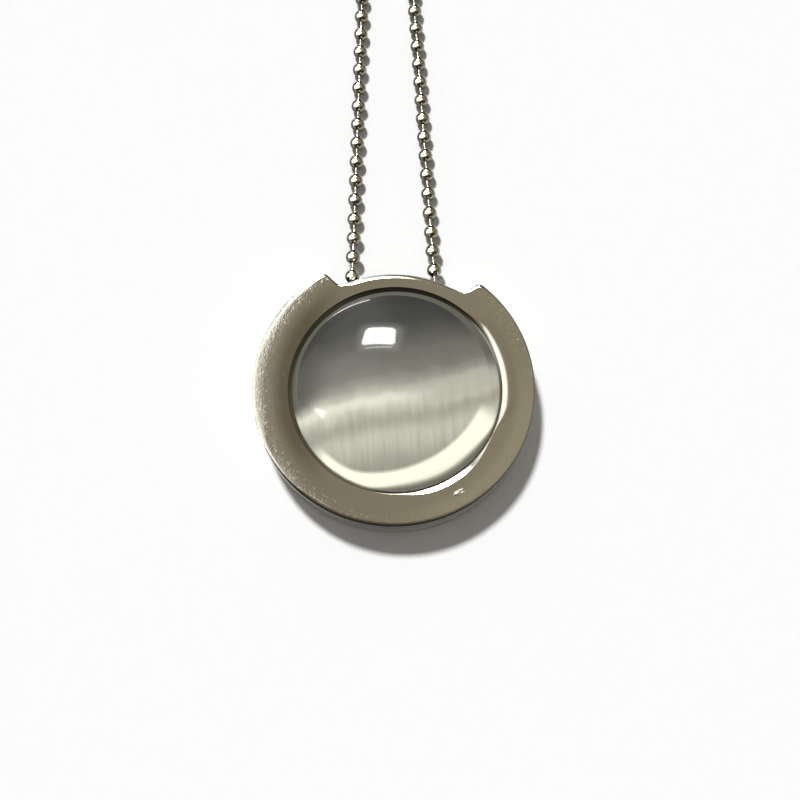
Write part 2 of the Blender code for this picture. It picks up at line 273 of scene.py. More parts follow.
def loop_knots(growth):
    """Knots of the whole loop from the bend in the slot: point, heading, handle back, handle on."""
    up = 0.5 * math.pi
    bend = 0.5 * (STRAND_RIGHT_X - STRAND_LEFT_X)
    bend_handle = QUARTER_HANDLE * bend
    middle_x = 0.5 * (STRAND_RIGHT_X + STRAND_LEFT_X)
    left_foot = Vector((STRAND_LEFT_X, STRAND_START_Y, 0.0))
    right_foot = Vector((STRAND_RIGHT_X, STRAND_START_Y, 0.0))
    left_up = heading(up + STRAND_LEFT_LEAN)
    right_up = heading(up + STRAND_RIGHT_LEAN)
    left_end = left_foot + left_up * STRAND_LENGTH
    right_end = right_foot + right_up * STRAND_LENGTH
    drop_up = heading(up + DROP_LEAN)
    drop_right = heading(DROP_LEAN)
    strands_middle = 0.5 * (left_end + right_end)
    side_rise = (DROP_SIDE_Y - left_end.y) * growth
    top_rise = (DROP_TOP_Y - left_end.y) * growth
    half_width = DROP_HALF_WIDTH * growth
    side_middle = strands_middle + drop_up * side_rise
    top = strands_middle + drop_up * top_rise
    top_handle = 0.56 * half_width
    side_handle = 0.56 * (top_rise - side_rise)
    long_handle = 0.52 * side_rise
    strand_handle = STRAND_LENGTH / 3
    return (
        (Vector((middle_x, STRAND_START_Y - bend, 0.0)), -heading(0.0), bend_handle, bend_handle),
        (left_foot, left_up, bend_handle, strand_handle),
        (left_end, left_up, strand_handle, long_handle),
        (side_middle - drop_right * half_width, drop_up, long_handle, side_handle),
        (top, drop_right, top_handle, top_handle),
        (side_middle + drop_right * half_width, -drop_up, side_handle, long_handle),
        (right_end, -right_up, long_handle, strand_handle),
        (right_foot, -right_up, strand_handle, bend_handle),
    )


def loop_points(growth):
    knots = loop_knots(growth)
    points = []
    clasp_index = 0
    for i, (start, start_heading, _, handle_on) in enumerate(knots):
        end, end_heading, handle_back, _ = knots[(i + 1) % len(knots)]
        if i == CLASP_KNOT:
            clasp_index = len(points)
        first_handle = start + start_heading * handle_on
        second_handle = end - end_heading * handle_back
        points += interpolate_bezier(start, first_handle, second_handle, end, CURVE_STEPS)[:-1]
    points.append(points[0].copy())
    distances = [0.0]
    for before, after in zip(points, points[1:]):
        distances.append(distances[-1] + (after - before).length)
    return points, distances, distances[clasp_index]


def measured_loop():
    wanted = BEAD_COUNT * BEAD_PITCH
    low, high = 0.5, 1.6
    for _ in range(40):
        growth = 0.5 * (low + high)
        if loop_points(growth)[1][-1] < wanted:
            low = growth
        else:
            high = growth
    return loop_points(0.5 * (low + high))


def smooth_step(value):
    value = min(1.0, max(0.0, value))
    return value * value * (3.0 - 2.0 * value)


class ChainPath:
    """Points of the chain's centre line by distance along it from the bend round the pin."""

    def __init__(self):
        self.points, self.distances, self.clasp = measured_loop()
        self.length = self.distances[-1]

    def height(self, distance):
        from_bend = min(distance, self.length - distance)
        from_clasp = abs(distance - self.clasp)
        slot = 1.0 - smooth_step((from_bend - SLOT_RISE_FROM) / (SLOT_RISE_TO - SLOT_RISE_FROM))
        clasp = 1.0 - smooth_step((from_clasp - CLASP_RISE_FROM) / (CLASP_RISE_TO - CLASP_RISE_FROM))
        clasp_rise = CLASP_OUTER_RADIUS - BEAD_RADIUS + CLASP_LIFT
        return BEAD_RADIUS + slot * CHAIN_SLOT_RISE + clasp * clasp_rise

    def at(self, distance):
        distance %= self.length
        high = int(np.searchsorted(self.distances, distance, side="right"))
        high = min(max(high, 1), len(self.distances) - 1)
        low = high - 1
        span = self.distances[high] - self.distances[low]
        share = (distance - self.distances[low]) / span
        point = self.points[low].lerp(self.points[high], share)
        return Vector((point.x, point.y, self.height(distance)))


# ---- shader nodes ----


def feed(tree, socket, value):
    """Links an output to the socket, or sets the socket's own value."""
    if isinstance(value, bpy.types.NodeSocket):
        tree.links.new(value, socket)
    else:
        socket.default_value = value


def add(tree, kind, settings=None, **inputs):
    """A node with its settings and inputs. An input is a value, or an output to link."""
    made = tree.nodes.new(kind)
    for name, value in (settings or {}).items():
        setattr(made, name, value)
    for name, value in inputs.items():
        feed(tree, made.inputs[name.replace("_", " ")], value)
    return made


def calc(tree, operation, *values):
    """Output of a Math node."""
    made = add(tree, "ShaderNodeMath", {"operation": operation})
    for socket, value in zip(made.inputs, values):
        feed(tree, socket, value)
    return made.outputs[0]


def product(tree, first, *others):
    """The values multiplied together."""
    for other in others:
        first = calc(tree, "MULTIPLY", first, other)
    return first


def vector_calc(tree, operation, *values):
    made = add(tree, "ShaderNodeVectorMath", {"operation": operation})
    for socket, value in zip(made.inputs, values):
        feed(tree, socket, value)
    return made.outputs["Value" if operation in ("DOT_PRODUCT", "LENGTH", "DISTANCE") else "Vector"]


def scaled(tree, vector, scale):
    return add(tree, "ShaderNodeVectorMath", {"operation": "SCALE"}, Vector=vector, Scale=scale).outputs["Vector"]


def split(tree, vector):
    """X, Y and Z of a vector."""
    return add(tree, "ShaderNodeSeparateXYZ", Vector=vector).outputs.values()


def joined(tree, x, y, z=0.0):
    """Vector of three values."""
    return add(tree, "ShaderNodeCombineXYZ", X=x, Y=y, Z=z).outputs["Vector"]


def noise(tree, place, scale, detail, roughness):
    made = add(tree, "ShaderNodeTexNoise", Vector=place, Scale=scale, Detail=detail, Roughness=roughness)
    return made.outputs["Fac"]


def ease(tree, value, low, high, to_low=0.0, to_high=1.0):
    """The value eased from one range into another, and held at its ends."""
    ends = {"From_Min": low, "From_Max": high, "To_Min": to_low, "To_Max": to_high}
    made = add(tree, "ShaderNodeMapRange", {"interpolation_type": "SMOOTHSTEP"}, Value=value, **ends)
    return made.outputs["Result"]


def blended(tree, share, first, second, mode="MIX"):
    """Colour between two, by a share."""
    made = add(tree, "ShaderNodeMix", {"data_type": "RGBA", "blend_type": mode})
    feed(tree, made.inputs[0], share)
    for index, value in ((6, first), (7, second)):
        linked = isinstance(value, bpy.types.NodeSocket)
        feed(tree, made.inputs[index], value if linked else (*value, 1.0))
    return made.outputs[2]


def new_group(name, inputs, outputs):
    """An empty shader group with named sockets. An input row is (name, socket kind, default)."""
    group = bpy.data.node_groups.new(name, "ShaderNodeTree")
    for socket, kind, default in inputs:
        made = group.interface.new_socket(socket, in_out="INPUT", socket_type="NodeSocket" + kind)
        if default is not None:
            made.default_value = default
    for socket, kind in outputs:
        group.interface.new_socket(socket, in_out="OUTPUT", socket_type="NodeSocket" + kind)
    return group, group.nodes.new("NodeGroupInput"), group.nodes.new("NodeGroupOutput")


def placed_group(tree, group, **inputs):
    return add(tree, "ShaderNodeGroup", {"node_tree": group}, **inputs)


def new_material(name):
    made = bpy.data.materials.new(name)
    made.use_nodes = True
    return made, made.node_tree, made.node_tree.nodes["Principled BSDF"]


def place_in_mm(tree):
    """The piece's own coordinates in millimetres."""
    coordinates = tree.nodes.new("ShaderNodeTexCoord")
    return vector_calc(tree, "MULTIPLY", coordinates.outputs["Object"], (1000.0, 1000.0, 1000.0))


# ---- effects shared by the metals ----


def handling_marks_group():
    """Fine scratches, soft waves and small nicks of polished steel, as a height and a haze."""
    group, entry, result = new_group(
        "handling_marks",
        (
            ("Place", "Vector", (0.0, 0.0, 0.0)),
            ("Scratch Size", "Float", 1.0),
            ("Scratch Depth", "Float", 1.0),
            ("Wave Depth", "Float", 1.0),
            ("Nick Depth", "Float", 1.0),
            ("Nick Mask", "Float", 1.0),
        ),
        (("Height", "Float"), ("Haze", "Float")),
    )
    out = entry.outputs
    place = out["Place"]
    scratches = None
    for turn, stretch in ((0.35, 26.0), (-0.9, 34.0), (1.35, 22.0)):
        lie = add(group, "ShaderNodeMapping", Vector=place, Rotation=(0.0, 0.0, turn)).outputs["Vector"]
        thin = vector_calc(group, "MULTIPLY", scaled(group, lie, out["Scratch Size"]), (0.35, stretch, 6.0))
        line = ease(group, noise(group, thin, 1.0, 2.0, 0.6), 0.64, 0.74)
        scratches = line if scratches is None else calc(group, "MAXIMUM", scratches, line)
    waves = noise(group, place, 0.33, 1.0, 0.4)
    nick = product(group, ease(group, noise(group, place, 3.4, 3.0, 0.7), 0.56, 0.7), out["Nick Mask"])
    height = product(group, scratches, out["Scratch Depth"], -0.0004)
    height = calc(group, "ADD", height, product(group, waves, out["Wave Depth"], 0.02))
    height = calc(group, "SUBTRACT", height, product(group, nick, out["Nick Depth"], 0.01))
    group.links.new(height, result.inputs["Height"])
    group.links.new(calc(group, "MAXIMUM", scratches, nick), result.inputs["Haze"])
    return group


def edge_wear_group():
    """Ragged wear along the rim of a turned disc, by radius in millimetres, as a height and a mask."""
    group, entry, result = new_group(
        "edge_wear",
        (
            ("Place", "Vector", (0.0, 0.0, 0.0)),
            ("Radius", "Float", 10.0),
            ("Inner", "Float", 9.4),
            ("Outer", "Float", 10.4),
            ("Depth", "Float", 1.0),
        ),
        (("Height", "Float"), ("Mask", "Float")),
    )
    out = entry.outputs
    around = vector_calc(group, "NORMALIZE", vector_calc(group, "MULTIPLY", out["Place"], IN_PLAN))
    outward = joined(group, 0.0, 0.0, product(group, out["Radius"], 6.0))
    spread = vector_calc(group, "ADD", scaled(group, around, 70.0), outward)
    ragged = calc(group, "SUBTRACT", noise(group, spread, 1.0, 1.0, 0.5), 0.5)
    patches = ease(group, noise(group, out["Place"], 1.9, 3.0, 0.7), 0.5, 0.72)
    zone = ease(group, out["Radius"], out["Inner"], out["Outer"])
    group.links.new(product(group, ragged, 0.014, zone, out["Depth"]), result.inputs["Height"])
    group.links.new(product(group, patches, zone), result.inputs["Mask"])
    return group


def dress_metal(tree, shader, tint, roughness, height):
    bump = add(tree, "ShaderNodeBump", Height=height, Distance=MM, Strength=1.0)
    shader.inputs["Metallic"].default_value = 1.0
    tree.links.new(tint, shader.inputs["Base Color"])
    tree.links.new(roughness, shader.inputs["Roughness"])
    tree.links.new(bump.outputs["Normal"], shader.inputs["Normal"])


def polished_steel_material(marks, wear):
    """Scratched bright steel, rubbed and nicked along its rim, with painted shade on its rounded edge, on the
    notch's left flank and in the seat.
    """
    material, tree, shader = new_material("polished_steel")
    place = place_in_mm(tree)
    flat = vector_calc(tree, "MULTIPLY", place, IN_PLAN)
    radius = vector_calc(tree, "LENGTH", flat)
    x, y, z = split(tree, place)
    near_edge = ease(tree, radius, 9.4, 10.4)
    marked = placed_group(
        tree, marks, Place=place, Nick_Mask=near_edge, Scratch_Depth=0.6, Wave_Depth=0.05, Nick_Depth=0.35
    )

    # The rim is rubbed most at its upper left, and hazy on its right
    leftward = calc(tree, "DIVIDE", vector_calc(tree, "DOT_PRODUCT", place, UPPER_LEFT), radius)
    rubbed = ease(tree, leftward, 0.72, 0.93, 0.5, 1.05)
    worn = placed_group(tree, wear, Place=place, Radius=radius, Inner=9.6, Outer=10.5, Depth=rubbed)
    rightward = calc(tree, "DIVIDE", vector_calc(tree, "DOT_PRODUCT", place, LOWER_RIGHT), radius)
    busy = calc(tree, "MAXIMUM", ease(tree, y, -8.6, -6.0), ease(tree, rightward, 0.7, 0.9))
    haze = product(tree, calc(tree, "MAXIMUM", marked.outputs["Haze"], worn.outputs["Mask"]), busy)
    scuffed = product(tree, ease(tree, radius, 9.2, 10.2), ease(tree, rightward, 0.55, 0.95, 0.0, 0.85))
    height = calc(tree, "ADD", marked.outputs["Height"], worn.outputs["Height"])
    for spot_x, spot_y, size in SCUFF_SPOTS:
        away = vector_calc(tree, "DISTANCE", flat, (spot_x, spot_y, 0.0))
        away = calc(tree, "ADD", away, product(tree, marked.outputs["Haze"], -0.2))
        scuffed = calc(tree, "MAXIMUM", scuffed, ease(tree, away, size, 0.3 * size, 0.0, 2.4))
        height = calc(tree, "ADD", height, ease(tree, away, size, 0.2 * size, 0.0, 0.035))
    haze = calc(tree, "MAXIMUM", haze, scuffed)
    tint = blended(tree, haze, STEEL, RUBBED_STEEL)
    # Painted shade: the face darkens towards the seat on its left
    shaded = product(tree, ease(tree, radius, 9.9, 8.6), ease(tree, x, -4.0, -7.5), 0.95)
    tint = blended(tree, shaded, tint, SHADED_STEEL)

    # Painted shade on the rounded edge, standing in for a dark reflection, and on the left flank of the notch and
    # in the seat, where shade falls
    slope_z = split(tree, tree.nodes.new("ShaderNodeNewGeometry").outputs["Normal"])[2]
    rounded = product(
        tree,
        ease(tree, z, 2.3, 2.5),
        ease(tree, slope_z, 0.965, 0.85),
        ease(tree, radius, 9.2, 9.4),
        ease(tree, rightward, -0.4, -0.2),
    )
    from_foot = vector_calc(tree, "SUBTRACT", place, FLANK_FOOT)
    inward = vector_calc(tree, "DOT_PRODUCT", from_foot, FLANK_INWARD)
    along = vector_calc(tree, "DOT_PRODUCT", from_foot, FLANK_ALONG)
    on_flank = ease(tree, x, -3.5, -4.5, 0.0, 1.25)
    flank = product(tree, ease(tree, inward, -0.16, -0.08), ease(tree, along, 0.0, 0.15), on_flank)
    seat = product(tree, ease(tree, z, 2.84, 2.76, 0.0, 0.62), ease(tree, radius, 8.75, 8.6))
    painted_shade = calc(tree, "MAXIMUM", calc(tree, "MAXIMUM", rounded, flank), seat)
    tint = blended(tree, product(tree, painted_shade, 0.8), tint, STEEL_PAINTED_SHADE)
    dress_metal(tree, shader, tint, ease(tree, haze, 0.0, 1.0, 0.05, 0.15), height)
    return material


def chain_steel_material(marks):
    """Small bright beads, with a painted dark rim where they turn away, painted shade on their undersides and a
    painted highlight oval on their upper sides.
    """
    material, tree, shader = new_material("chain_steel")
    marked = placed_group(
        tree, marks, Place=place_in_mm(tree), Scratch_Size=2.0, Scratch_Depth=0.4, Wave_Depth=0.5, Nick_Depth=0.5
    )
    facing = add(tree, "ShaderNodeLayerWeight", Blend=0.5).outputs["Facing"]
    normal = tree.nodes.new("ShaderNodeNewGeometry").outputs["Normal"]
    normal_x, _, normal_z = split(tree, normal)
    # A painted dark rim where the bead turns from view, weaker on its right, and painted shade on its underside
    ring = product(
        tree,
        ease(tree, facing, 0.2, 0.34),
        ease(tree, facing, 0.86, 0.66),
        ease(tree, normal_x, 0.25, 0.6, 1.0, 0.5),
    )
    painted_underside_shade = product(tree, ease(tree, normal_z, 0.5, 0.34), 0.7)

    # A painted highlight oval on the upper side of each bead, longer along the strand; outside it the bead takes
    # painted shade, dark on its left and brown on its right
    long = calc(tree, "DIVIDE", vector_calc(tree, "DOT_PRODUCT", normal, (0.365, 0.82, 0.42)), 0.62)
    wide = calc(tree, "DIVIDE", vector_calc(tree, "DOT_PRODUCT", normal, (-0.87, 0.457, -0.137)), 0.4)
    outside_painted_highlight = ease(tree, vector_calc(tree, "LENGTH", joined(tree, long, wide)), 0.85, 1.12)
    painted_shade_tint = blended(tree, ease(tree, normal_x, -0.1, 0.2), BEAD_PAINTED_SHADE_LEFT, BEAD_PAINTED_SHADE_RIGHT)
    bare_bead_tint = blended(tree, marked.outputs["Haze"], BEAD_STEEL, HAZY_BEAD_STEEL)
    tint = blended(tree, outside_painted_highlight, bare_bead_tint, painted_shade_tint)
    tint = blended(tree, calc(tree, "MAXIMUM", ring, painted_underside_shade), tint, BEAD_PAINTED_RIM)
    roughness = ease(tree, marked.outputs["Haze"], 0.0, 1.0, 0.13, 0.24)
    dress_metal(tree, shader, tint, roughness, marked.outputs["Height"])
    return material


# ---- the cat's-eye stone ----


def stone_body_group():
    """Tone of the fibrous stone over its plan in millimetres: smoke, with painted shade above, the band as a
    painted sheen and the milky half as painted light.
    """
    group, entry, result = new_group(
        "cats_eye_body",
        (("Place", "Vector", (0.0, 0.0, 0.0)), ("Ruffle", "Float", 0.3), ("Streaks", "Float", 0.045)),
        (("Color", "Color"),),
    )
    place = entry.outputs["Place"]
    x, y, _ = split(group, place)

    # Fibres run nearly up the stone, and ruffle the edges of the band
    lie = add(group, "ShaderNodeMapping", Vector=place, Rotation=(0.0, 0.0, math.radians(-9.0)))
    stretched = vector_calc(group, "MULTIPLY", lie.outputs["Vector"], (2.2, 0.25, 0.0))
    fibre = calc(group, "SUBTRACT", noise(group, stretched, 1.0, 3.0, 0.55), 0.5)
    cloud = calc(group, "SUBTRACT", noise(group, place, 0.45, 2.0, 0.5), 0.5)

    # Height above the band's centre line, which rises to the right
    line = product(group, x, 0.203)
    line = calc(group, "ADD", line, product(group, x, x, 0.006))
    line = calc(group, "ADD", line, product(group, x, x, x, 0.0024))
    above = calc(group, "SUBTRACT", y, calc(group, "ADD", line, -1.6))
    above = calc(group, "ADD", above, product(group, fibre, entry.outputs["Ruffle"]))
    above = calc(group, "ADD", above, product(group, cloud, 0.9))
    lowest, span = STONE_TONES[0][0], STONE_TONES[-1][0] - STONE_TONES[0][0]
    share = calc(group, "DIVIDE", calc(group, "SUBTRACT", above, lowest), span)
    tones = add(group, "ShaderNodeValToRGB", Fac=share)
    ramp = tones.color_ramp
    ramp.interpolation = "CARDINAL"
    for index, (height, tone) in enumerate(STONE_TONES):
        stop = ramp.elements[index] if index < 2 else ramp.elements.new(1.0)
        stop.position = (height - lowest) / span
        stop.color = (*tone, 1.0)
    body = tones.outputs["Color"]

    # The band is weaker to the right, where it meets the grey
    right = ease(group, x, -1.0, 4.5)
    near_band = product(group, ease(group, above, 1.1, 0.2), ease(group, above, -1.2, -0.2))
    body = blended(group, product(group, right, near_band, 0.75), body, (0.44, 0.43, 0.355))

    # Its left edge above the band lies in its own shade
    shade = product(group, ease(group, x, -4.2, -7.4), ease(group, above, 0.2, 1.6), 0.7)
    body = blended(group, shade, body, (0.06, 0.058, 0.045))

    streak = product(group, fibre, product(group, entry.outputs["Streaks"], 10.0))
    streak = product(group, streak, ease(group, above, 0.8, -1.5, 0.3, 1.0))
    lift = calc(group, "ADD", streak, 1.0)
    body = vector_calc(group, "MULTIPLY", body, joined(group, lift, lift, lift))
    group.links.new(body, result.inputs["Color"])
    return group


def dome_light_group():
    """Painted light of a dome: a soft crescent of gathered light opposite the lamp, with a painted dark ring
    outside it and painted shade on the girdle away from it.
    """
    group, entry, result = new_group(
        "dome_light",
        (
            ("Place", "Vector", (0.0, 0.0, 0.0)),
            ("Radius", "Float", 0.0),
            ("Offset", "Vector", (1.543, -1.838, 0.0)),
            ("Reach", "Float", 8.9),
            ("Rim Centre", "Vector", (0.2, -0.13, 0.0)),
            ("Rim Radius", "Float", 8.08),
        ),
        (("Crescent", "Float"), ("Dark Ring", "Float"), ("Girdle Shade", "Float")),
    )
    out = entry.outputs
    radius = out["Radius"]
    plan = vector_calc(group, "MULTIPLY", out["Place"], IN_PLAN)
    around = vector_calc(group, "NORMALIZE", plan)
    facing = vector_calc(group, "DOT_PRODUCT", around, tuple(heading(math.radians(-72.0))))
    dip = vector_calc(group, "DOT_PRODUCT", around, tuple(heading(math.radians(-58.0))))
    dip = ease(group, dip, 0.72, 0.99)
    from_centre = vector_calc(group, "LENGTH", vector_calc(group, "ADD", plan, out["Offset"]))
    past = calc(group, "SUBTRACT", from_centre, out["Reach"])
    past = calc(group, "SMOOTH_MAX", past, calc(group, "SUBTRACT", radius, 7.45), 0.35)
    from_rim = vector_calc(group, "LENGTH", vector_calc(group, "SUBTRACT", plan, out["Rim Centre"]))
    inside = calc(group, "SUBTRACT", from_rim, out["Rim Radius"])
    inside = calc(group, "ADD", inside, calc(group, "ADD", product(group, dip, 0.44), 0.03))
    lit = calc(group, "DIVIDE", inside, calc(group, "ADD", product(group, dip, 0.2), 0.14))
    crescent = product(
        group, ease(group, past, -0.2, 0.2), ease(group, lit, 1.0, -1.0), ease(group, facing, 0.42, 0.6)
    )
    ring = product(group, ease(group, lit, -0.6, 0.8), ease(group, facing, -0.2, 0.3))
    thin = product(
        group, ease(group, radius, 7.46, 7.52), ease(group, radius, 7.64, 7.58), ease(group, facing, 0.2, -0.15)
    )
    # Painted shade on the girdle, on the side away from the crescent
    girdle = product(group, ease(group, radius, 7.58, 7.64), ease(group, facing, 0.15, -0.15))
    group.links.new(crescent, result.inputs["Crescent"])
    group.links.new(calc(group, "MAXIMUM", ring, thin), result.inputs["Dark Ring"])
    group.links.new(girdle, result.inputs["Girdle Shade"])
    return group


def cats_eye_material():
    material, tree, shader = new_material("cats_eye")
    place = place_in_mm(tree)
    radius = vector_calc(tree, "LENGTH", vector_calc(tree, "MULTIPLY", place, IN_PLAN))
    body = placed_group(tree, stone_body_group(), Place=place)
    dome = placed_group(tree, dome_light_group(), Place=place, Radius=radius)
    # Painted light and shade on the stone: the bright crescent, the dark ring and the girdle's shade
    lit = blended(tree, dome.outputs["Crescent"], body.outputs["Color"], (1.24, 1.22, 1.0))
    lit = blended(tree, product(tree, dome.outputs["Dark Ring"], 0.75), lit, (0.15, 0.146, 0.118))
    lit = blended(tree, product(tree, dome.outputs["Girdle Shade"], 0.9), lit, (0.14, 0.137, 0.11))
    # The stone's tone is split into diffuse colour and a painted glow of emission, so it looks lit from within
    diffuse = blended(tree, 1.0, lit, (0.4, 0.4, 0.4), "MULTIPLY")
    glow = blended(tree, 1.0, lit, (0.56, 0.56, 0.56), "MULTIPLY")
    tree.links.new(diffuse, shader.inputs["Base Color"])
    tree.links.new(glow, shader.inputs["Emission Color"])
    shader.inputs["Emission Strength"].default_value = 1.0
    shader.inputs["Roughness"].default_value = 0.04
    shader.inputs["IOR"].default_value = 1.52
    shader.inputs["Specular IOR Level"].default_value = 0.13
    return material


# ---- meshes ----


def mesh_object(name, vertices, faces, materials, sharp=35.0):
    mesh = bpy.data.meshes.new(name)
    mesh.from_pydata([tuple(v) for v in vertices], [], faces)
    mesh.update()
    bm = bmesh.new()
    bm.from_mesh(mesh)
    bmesh.ops.recalc_face_normals(bm, faces=bm.faces)
    bm.to_mesh(mesh)
    bm.free()
    mesh.shade_smooth()
    mesh.set_sharp_from_angle(angle=math.radians(sharp))
    for material in materials:
        mesh.materials.append(material)
    obj = bpy.data.objects.new(name, mesh)
    bpy.context.scene.collection.objects.link(obj)
    return obj


def ringed(rings, closed_start=True, closed_end=True):
    """Vertices and faces of a surface through rings of the same number of points."""
    sides = len(rings[0])
    vertices = [point for ring in rings for point in ring]
    faces = []
    for k in range(len(rings) - 1):
        for i in range(sides):
            j = (i + 1) % sides
            faces.append((k * sides + i, k * sides + j, (k + 1) * sides + j, (k + 1) * sides + i))
    last = (len(rings) - 1) * sides
    if closed_start:
        faces.append(tuple(range(sides)))
    if closed_end:
        faces.append(tuple(range(last, last + sides)))
    return vertices, faces


def circle(radius, height, sides):
    turns = [2 * math.pi * i / sides for i in range(sides)]
    return [(radius * math.cos(turn), radius * math.sin(turn), height) for turn in turns]


def window(turn, middle, full, fade):
    """One within an angle of the middle, and eased to nothing past it."""
    away = abs((turn - middle + math.pi) % (2 * math.pi) - math.pi)
    return 1.0 - smooth_step((away - full) / fade)


def edge_row(row, on_rim, on_flank, flank_edge, worn, crisp):
    """Inset and drop of one row of the edge, between the notch, the rim and its worn stretch."""
    rim, notch, gentle = (Vector(pair) * MM for pair in row)
    notch *= 1.0 - (1.0 - flank_edge) * on_flank
    edge = notch.lerp(rim.lerp(gentle, worn), on_rim)
    edge.x *= 1.0 - (1.0 - CRISP_SHARE) * crisp
    return edge


def frame_rings():
    """Rings of the notched disc from the back face over its edge and the bevel to the seat."""
    outline = frame_outline()
    inward = inward_steps(outline)
    horn = polar(FRAME_RADIUS, NOTCH_TIP_ANGLE)
    blends = []
    for point in outline:
        turn = math.atan2(point.x, point.y)
        from_horn = (Vector((abs(point.x), point.y)) - horn).length
        on_rim = 1.0 if point.length > FRAME_RADIUS - 0.02 * MM else 0.0
        on_rim *= smooth_step((from_horn - 0.4 * MM) / HORN_BLEND)
        on_flank = smooth_step((abs(turn) - FOOT_FROM) / FOOT_FADE)
        up_flank = smooth_step((point.length - NOTCH_RADIUS) / (FRAME_RADIUS - NOTCH_RADIUS))
        foot_edge = FOOT_EDGE_LEFT if point.x < 0.0 else FOOT_EDGE_RIGHT
        flank_edge = foot_edge + (TIP_EDGE - foot_edge) * up_flank
        worn = window(turn, WORN_MIDDLE, WORN_FULL, WORN_FADE)
        crisp = window(turn, CRISP_MIDDLE, CRISP_FULL, CRISP_FADE)
        blends.append((on_rim, on_flank, flank_edge, worn, crisp))
    rings = []
    for inset, height in BACK_PROFILE:
        rings.append([(*(p + step * inset * MM), height * MM) for p, step in zip(outline, inward)])
    for row in EDGE_PROFILE:
        ring = []
        for point, step, blend in zip(outline, inward, blends):
            inset, drop = edge_row(row, *blend)
            ring.append((*(point + step * inset), FRAME_THICKNESS - drop))
        rings.append(ring)
    crown = rings[-1]
    turns = [math.atan2(point[0], point[1]) for point in crown]
    bevels = []
    for (share, drop), (side_share, side_drop) in zip(BEVEL_PROFILE, SIDE_BEVEL_PROFILE):
        row = []
        for turn in turns:
            sideways = window(turn, SIDE_BEVEL_MIDDLE, SIDE_BEVEL_FULL, SIDE_BEVEL_FADE)
            lip = PLAIN_LIP + (1.0 - PLAIN_LIP) * window(turn, LIP_MIDDLE, LIP_FULL, LIP_FADE)
            width = share * lip * BEVEL_WIDTH * (1.0 - sideways) + side_share * SIDE_BEVEL_WIDTH * sideways
            fall = drop * lip * BEVEL_DROP * (1.0 - sideways) + side_drop * SIDE_BEVEL_DROP * sideways
            place = polar(SEAT_RADIUS + width, turn) + SEAT_SHIFT
            row.append((*place, FRAME_THICKNESS - fall))
        bevels.append(row)
    for share in (0.33, 0.66, 0.97):
        rings.append([tuple(Vector(a).lerp(Vector(b), share)) for a, b in zip(crown, bevels[0])])
    rings += bevels
    for fall in SEAT_WALL:
        rings.append([(x, y, z - fall) for x, y, z in bevels[-1]])
    rings.append([(x, y, SEAT_FLOOR) for x, y, z in bevels[-1]])
    return rings


def slot_cutter():
    corner = SLOT_HALF_WIDTH
    outline = [Vector((corner, 1.2 * FRAME_RADIUS)), Vector((-corner, 1.2 * FRAME_RADIUS))]
    for i in range(2 * SLOT_CORNER_SIDES + 1):
        turn = math.pi + math.pi * i / (2 * SLOT_CORNER_SIDES)
        outline.append(Vector((corner * math.cos(turn), SLOT_END + corner + corner * math.sin(turn))))
    rings = [[(*p, SLOT_FLOOR) for p in outline], [(*p, SLOT_ROOF) for p in outline]]
    return mesh_object("slot_cutter", *ringed(rings), [])


def make_frame(steel):
    piece = mesh_object("steel_frame", *ringed(frame_rings()), [steel])
    cutter = slot_cutter()
    modifier = piece.modifiers.new("slot", "BOOLEAN")
    modifier.operation = "DIFFERENCE"
    modifier.solver = "EXACT"
    modifier.object = cutter
    evaluated = piece.evaluated_get(bpy.context.evaluated_depsgraph_get())
    cut_mesh = bpy.data.meshes.new_from_object(evaluated)
    piece.modifiers.clear()
    piece.data = cut_mesh
    cut_mesh.set_sharp_from_angle(angle=math.radians(35.0))
    bpy.data.objects.remove(cutter)
    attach(piece, "root")
    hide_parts("frame")


def make_stone(glass):
    """The cabochon: flat base, low girdle, a small round edge and a spherical dome."""
    rise = STONE_TOP - STONE_GIRDLE_TOP
    ball = (STONE_RADIUS**2 + rise**2) / (2 * rise)
    widest = math.asin(STONE_RADIUS / ball)
    section = [
        (STONE_RADIUS - 0.25 * MM, STONE_BASE),
        (STONE_RADIUS - 0.02 * MM, STONE_BASE + 0.2 * MM),
        (STONE_RADIUS, STONE_BASE + 0.28 * MM),
        (STONE_RADIUS, STONE_GIRDLE_TOP - 0.08 * MM),
        (STONE_RADIUS - 0.02 * MM, STONE_GIRDLE_TOP - 0.02 * MM),
    ]
    for i in range(DOME_RINGS):
        slope = widest * (1.0 - (i + 0.35) / DOME_RINGS)
        section.append((ball * math.sin(slope), STONE_TOP - ball * (1.0 - math.cos(slope))))
    vertices, faces = ringed([circle(*row, STONE_SIDES) for row in section], closed_end=False)
    apex = len(vertices)
    vertices.append((0.0, 0.0, STONE_TOP))
    vertices = [(x + STONE_SHIFT.x, y + STONE_SHIFT.y, z) for x, y, z in vertices]
    last = apex - STONE_SIDES
    faces += [(last + i, last + (i + 1) % STONE_SIDES, apex) for i in range(STONE_SIDES)]
    piece = mesh_object("cats_eye_stone", vertices, faces, [glass])
    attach(piece, "root")
    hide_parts("stone")


def bead_template(sides, latitudes):
    """A hollow bead along +Z with an open hole at each end, its edge turned in."""
    hole = math.asin(BEAD_HOLE_RADIUS / BEAD_RADIUS)
    rows = [(BEAD_HOLE_RADIUS * 0.9, -0.78 * BEAD_RADIUS)]
    for i in range(latitudes + 1):
        turn = hole + (math.pi - 2 * hole) * i / latitudes
        rows.append((BEAD_RADIUS * math.sin(turn), -BEAD_RADIUS * math.cos(turn)))
    rows.append((BEAD_HOLE_RADIUS * 0.9, 0.78 * BEAD_RADIUS))
    return turned_rows(rows, sides)


